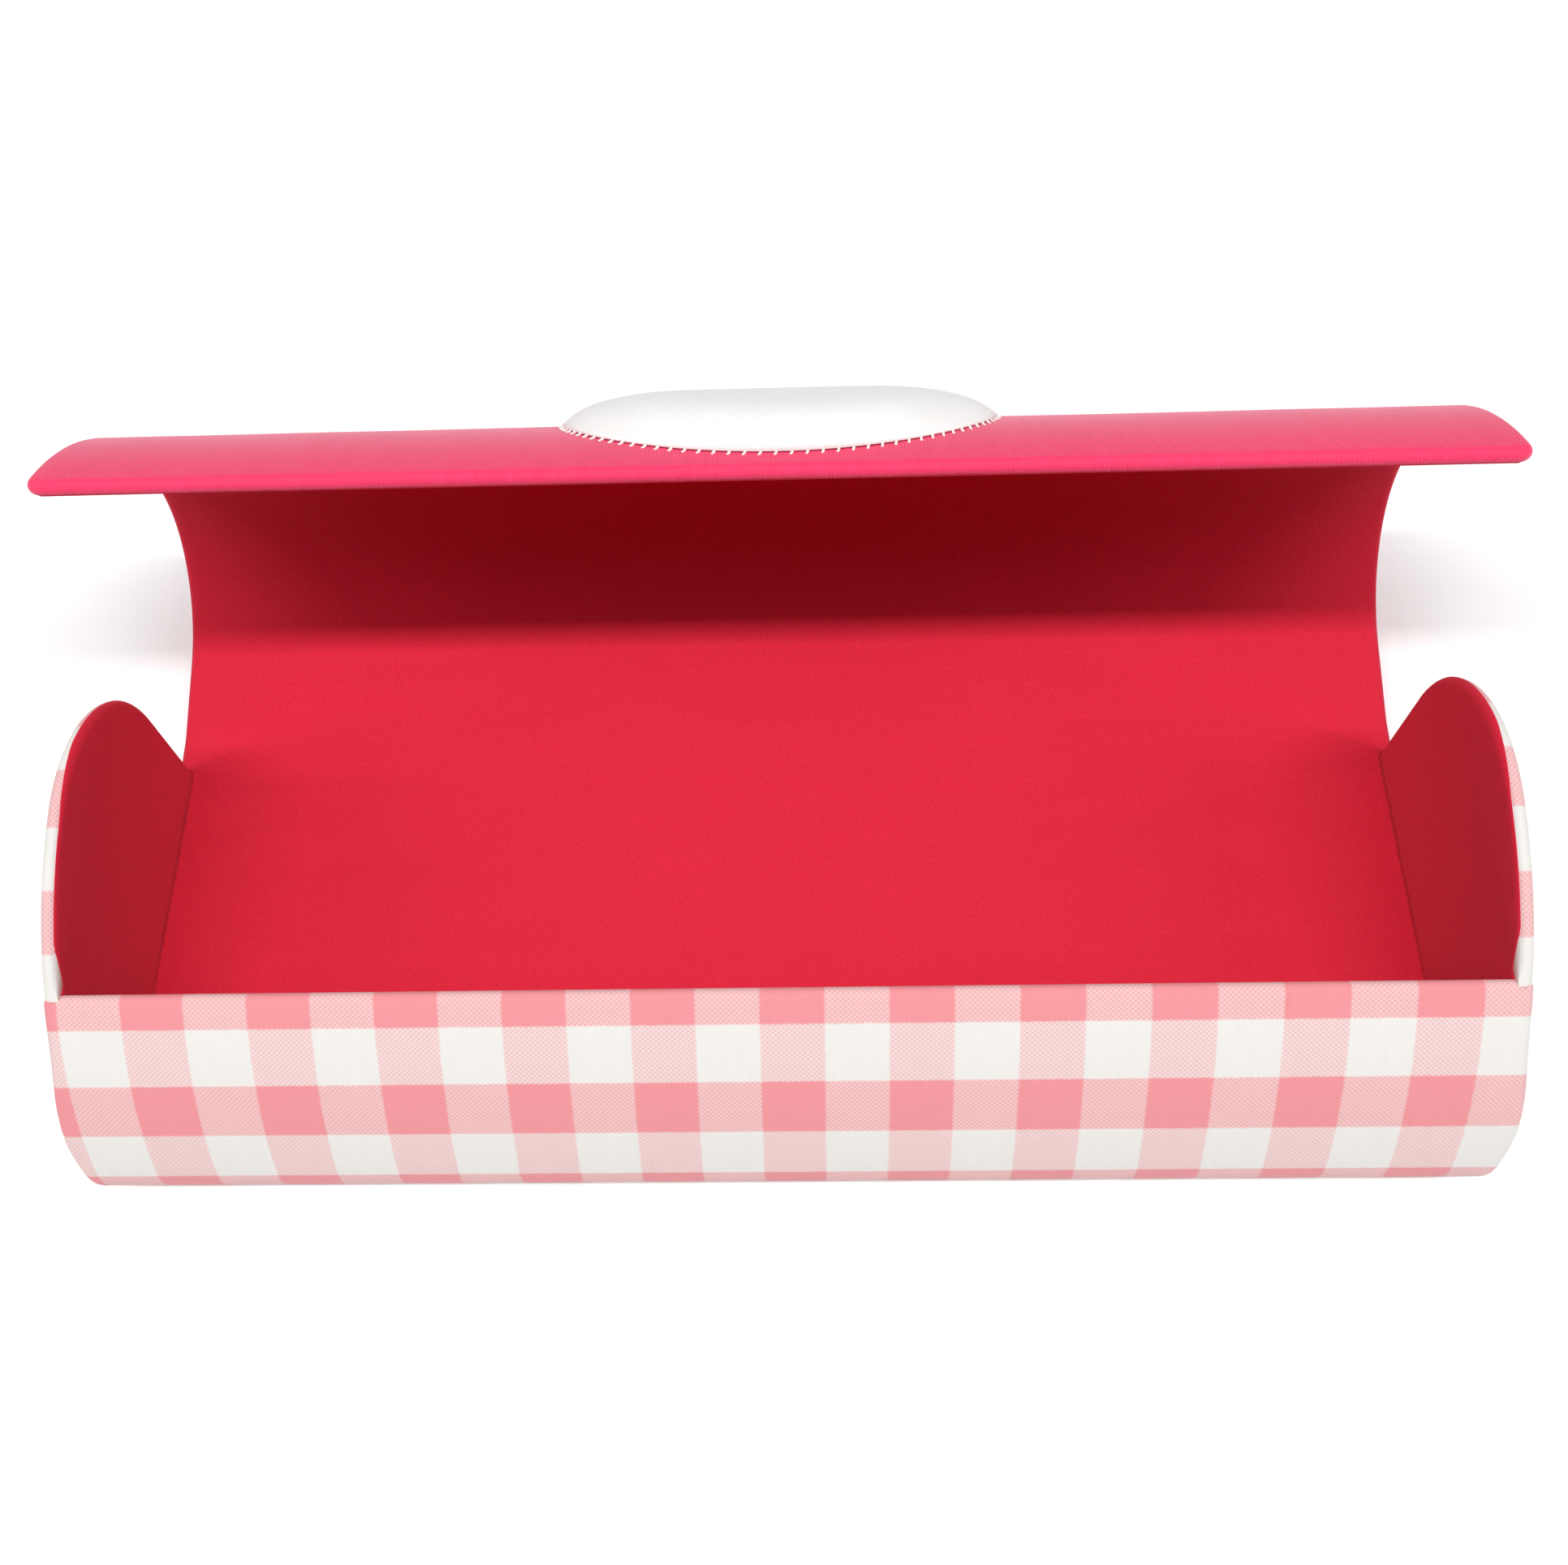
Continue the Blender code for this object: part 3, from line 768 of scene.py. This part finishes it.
def puffed(places, faces, rim):
    """How high slack cloth over the disc stands, held at its rim and blown up at a larger size."""
    flat = places * PATCH_SCALE / 2 * np.array(PATCH_SIZE)
    cloth = add_mesh("patch_flat", [(x, y, 0) for x, y in flat], faces)
    cloth.vertex_groups.new(name="rim").add(rim, 1.0, "REPLACE")
    simulation = cloth.modifiers.new("cloth", "CLOTH")
    settings = simulation.settings
    settings.vertex_group_mass = "rim"
    settings.quality = 8
    settings.mass = 0.3
    settings.tension_stiffness = settings.compression_stiffness = 30
    settings.shear_stiffness = 15
    settings.bending_stiffness = 5
    settings.shrink_min = -0.15
    settings.use_pressure = True
    settings.uniform_pressure_force = 15
    settings.effector_weights.gravity = 0
    settings.air_damping = 4
    simulation.collision_settings.use_collision = False
    for step in range(1, PATCH_FRAMES + 1):
        bpy.context.scene.frame_set(step)
    shaped = cloth.evaluated_get(bpy.context.evaluated_depsgraph_get())
    heights = np.array([v.co.z for v in shaped.to_mesh().vertices])
    shaped.to_mesh_clear()
    bpy.context.scene.frame_set(1)
    bpy.data.objects.remove(cloth)
    return heights


def build_patch(cloth_finish, thread_finish):
    """The padded oval on the lid. The blown-up cloth is evened out to a low crown with steep sides."""
    line = Line(lid_points(LID_CLEARANCE + WALL), side=-1)
    places, faces, rim = patch_disc()
    heights = puffed(places, faces, rim)
    crown = heights.reshape(PATCH_GRID, PATCH_GRID)
    for _ in range(PATCH_EVENING):
        crown[1:-1, 1:-1] = (crown[:-2, 1:-1] + crown[2:, 1:-1] + crown[1:-1, :-2] + crown[1:-1, 2:]) / 4
    heights = 0.1 * MM + PATCH_CROWN * (1 - (1 - heights / heights.max()) ** PATCH_STEEPNESS)
    flat = np.column_stack([places * np.array(PATCH_SIZE) / 2 + PATCH_PLACE, heights])
    piece = add_mesh("patch_cloth", line.bend(flat).tolist(), [f[::-1] for f in faces], cloth_finish)
    thicken(piece, CLOTH)
    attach(piece, "lid")
    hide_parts("patch_cover", "patch_padding")
    build_stitches(line, BVHTree.FromPolygons(flat.tolist(), faces), thread_finish)


def stitch_path(angle, patch):
    """One stitch's line over the patch's rim, at an angle round it."""
    width, depth = PATCH_SIZE
    rim = np.array([width / 2 * math.cos(angle), depth / 2 * math.sin(angle)]) + PATCH_PLACE
    out = np.array([math.cos(angle) / width, math.sin(angle) / depth])
    out /= np.linalg.norm(out)
    along = np.array([-out[1], out[0]])
    path = []
    for t in np.linspace(0, 1, STITCH_POINTS):
        x, s = rim + out * (STITCH_START - STITCH_REACH * t) + along * (t - 0.5) * STITCH_SLANT
        hit = patch.ray_cast((x, s, 20 * MM), (0, 0, -1))[0]
        lift = STITCH_RADIUS * (1.3 * math.sin(math.pi * t) - 0.6)
        path.append((x, s, (hit.z if hit else 0.0) + lift))
    path = np.array(path)
    path[1:-1, 2] = (path[:-2, 2] + path[1:-1, 2] + path[2:, 2]) / 3
    return path


def build_stitches(line, patch, finish):
    """Whipstitches round the patch. Each comes out of the lid and goes over the rim into the patch."""
    turns = [math.tau * k / STITCH_SIDES for k in range(STITCH_SIDES)]
    cloth = Cloth()
    for k in range(STITCH_COUNT):
        path = stitch_path(math.tau * k / STITCH_COUNT, patch)
        ahead = np.gradient(path, axis=0)
        ahead /= np.linalg.norm(ahead, axis=1)[:, None]
        rows = []
        for place, way in zip(path, ahead):
            side = np.cross(way, (0, 0, 1))
            side /= np.linalg.norm(side)
            up = np.cross(side, way)
            ring = [place + STITCH_RADIUS * (side * math.cos(a) + up * math.sin(a)) for a in turns]
            rows.append(cloth.row(line.bend(np.array(ring)), ring))
        for first, second in zip(rows, rows[1:]):
            cloth.join(first, second, closed=True)
        cloth.faces += [tuple(rows[0][::-1]), tuple(rows[-1])]
    piece = cloth.build("patch_stitches", finish)
    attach(piece, "lid")
    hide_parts("patch_stitching")


def dress_hidden_parts():
    """The boards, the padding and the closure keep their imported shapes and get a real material."""
    finishes = {
        "fibreboard": fibreboard(),
        "foam": foam(),
        "steel": metal("steel", (0.42, 0.42, 0.43), (0.62, 0.62, 0.62), 0.38),
        "nickel_plate": metal("nickel_plate", (0.6, 0.58, 0.54), (0.75, 0.73, 0.69), 0.22),
    }
    for part in frame["record"]["subparts"]:
        node = frame["nodes"][part["node"]]
        if not node.hide_render and part["material_slot"] in finishes:
            node.data.materials.clear()
            node.data.materials.append(finishes[part["material_slot"]])


# Setting


def build_floor():
    shader = Shader("floor", 0.9, Specular_IOR_Level=0.1)
    shade = shader.speckle(shader.object_place(), 300 * MM, 2.0)
    finish = shader.finish(shader.mix(shade, (0.93, 0.93, 0.93), (0.95, 0.95, 0.95)))
    corners = [(x * FLOOR_REACH, y * FLOOR_REACH, 0) for x, y in ((-1, -1), (1, -1), (1, 1), (-1, 1))]
    floor = add_mesh("floor", corners, [(0, 1, 2, 3)], finish)
    floor.location.z = cad_box[0].z - 0.05 * MM


def add_light(name, direction, size, power):
    """A soft light on the case, from a direction of (azimuth from the front, elevation) in degrees."""
    azimuth, elevation = map(math.radians, direction)
    level = math.cos(elevation)
    way = Vector((math.sin(azimuth) * level, -math.cos(azimuth) * level, math.sin(elevation)))
    light = bpy.data.lights.new(name, "AREA")
    light.shape = "RECTANGLE"
    light.size, light.size_y = size
    light.energy = power
    lamp = add_object(name, light)
    lamp.location = Vector(LIGHT_TARGET) + way * LIGHT_DISTANCE
    lamp.rotation_euler = way.to_track_quat("Z", "Y").to_euler()


def build_lights():
    add_light("key", direction=(0, 76), size=(4.25, 0.3), power=162)
    add_light("left_fill", direction=(-80, 40), size=(2, 2), power=42)
    add_light("right_fill", direction=(80, 40), size=(2, 2), power=42)
    build_world()
    bpy.context.scene.view_settings.view_transform = "Standard"


def build_world():
    """White where the camera sees it, and dim as a light."""
    world = bpy.data.worlds.new("studio")
    world.use_nodes = True
    tree = world.node_tree
    seen = tree.nodes.new("ShaderNodeLightPath").outputs["Is Camera Ray"]
    strength = tree.nodes.new("ShaderNodeMapRange")
    strength.inputs["To Min"].default_value, strength.inputs["To Max"].default_value = AMBIENT, 1
    tree.links.new(seen, strength.inputs["Value"])
    tree.links.new(strength.outputs[0], tree.nodes["Background"].inputs["Strength"])
    tree.nodes["Background"].inputs["Color"].default_value = (1, 1, 1, 1)
    bpy.context.scene.world = world


def build_camera():
    pitch, yaw, roll = map(math.radians, (CAMERA_PITCH, CAMERA_YAW, CAMERA_ROLL))
    ahead = Vector((math.sin(yaw) * math.cos(pitch), math.cos(yaw) * math.cos(pitch), -math.sin(pitch)))
    level = Vector((math.cos(yaw), -math.sin(yaw), 0))
    right = level * math.cos(roll) + level.cross(ahead) * math.sin(roll)
    up = right.cross(ahead)
    data = bpy.data.cameras.new("camera")
    data.sensor_width = SENSOR
    data.lens = LENS
    data.shift_x, data.shift_y = CAMERA_SHIFT
    camera = add_object("camera", data)
    turn = Matrix((right, up, -ahead)).transposed().to_4x4()
    camera.matrix_world = Matrix.Translation(CAMERA_PLACE) @ turn
    bpy.context.scene.camera = camera


def main():
    build_camera()
    build_tray_cloth(gingham("tray_gingham", *TRAY_CHECK))
    end_finish, lining, lid_finish = gingham("end_gingham", *END_CHECK), lining_cloth(), plain_cloth()
    for name, side in (("left", -1), ("right", 1)):
        build_end_cloth(name, side, end_finish)
        build_end_lining(name, side, lining)
    build_lid_cloth(lid_finish)
    build_hinge_cloth(lid_finish)
    build_lining(lining)
    build_patch(white_cloth(), white_thread())
    dress_hidden_parts()
    build_floor()
    build_lights()


main()
bpy.context.view_layer.update()
